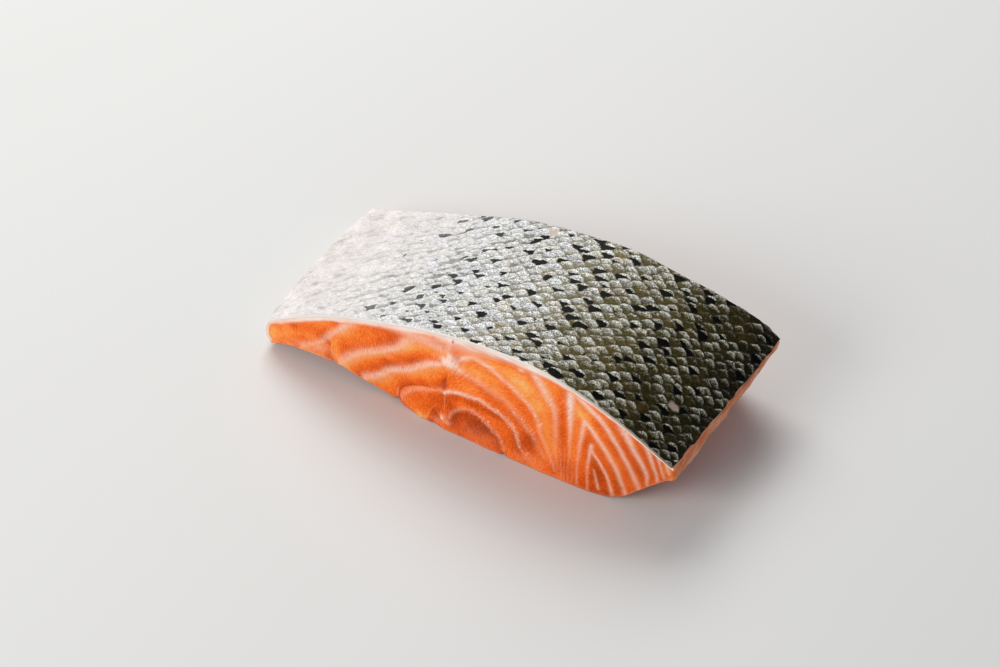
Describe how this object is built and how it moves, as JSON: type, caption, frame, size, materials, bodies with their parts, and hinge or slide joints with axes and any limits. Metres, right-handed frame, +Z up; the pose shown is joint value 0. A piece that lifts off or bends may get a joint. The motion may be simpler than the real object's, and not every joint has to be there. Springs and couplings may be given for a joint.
{
  "type": "raw salmon fillet",
  "caption": "Raw skin-on salmon portion, cut across a side of fish, lying skin side up with its flaked cut faces showing.",
  "frame": {"origin": "middle of the bounding box, on the surface that the portion lies on", "axes": "+X from the thin belly edge to the back edge of the fish, +Y towards its tail, +Z up through the skin"},
  "size_m": [0.1538, 0.0698, 0.0404],
  "materials": {
    "flesh": "wet raw fish flesh, orange with pale seams between the flakes",
    "skin": "wet scaly fish skin, white at the belly, silver with black spots, dark olive at the back"
  },
  "bodies": {
    "root": {"flesh": "flesh", "skin": "skin"}
  },
  "joints": []
}
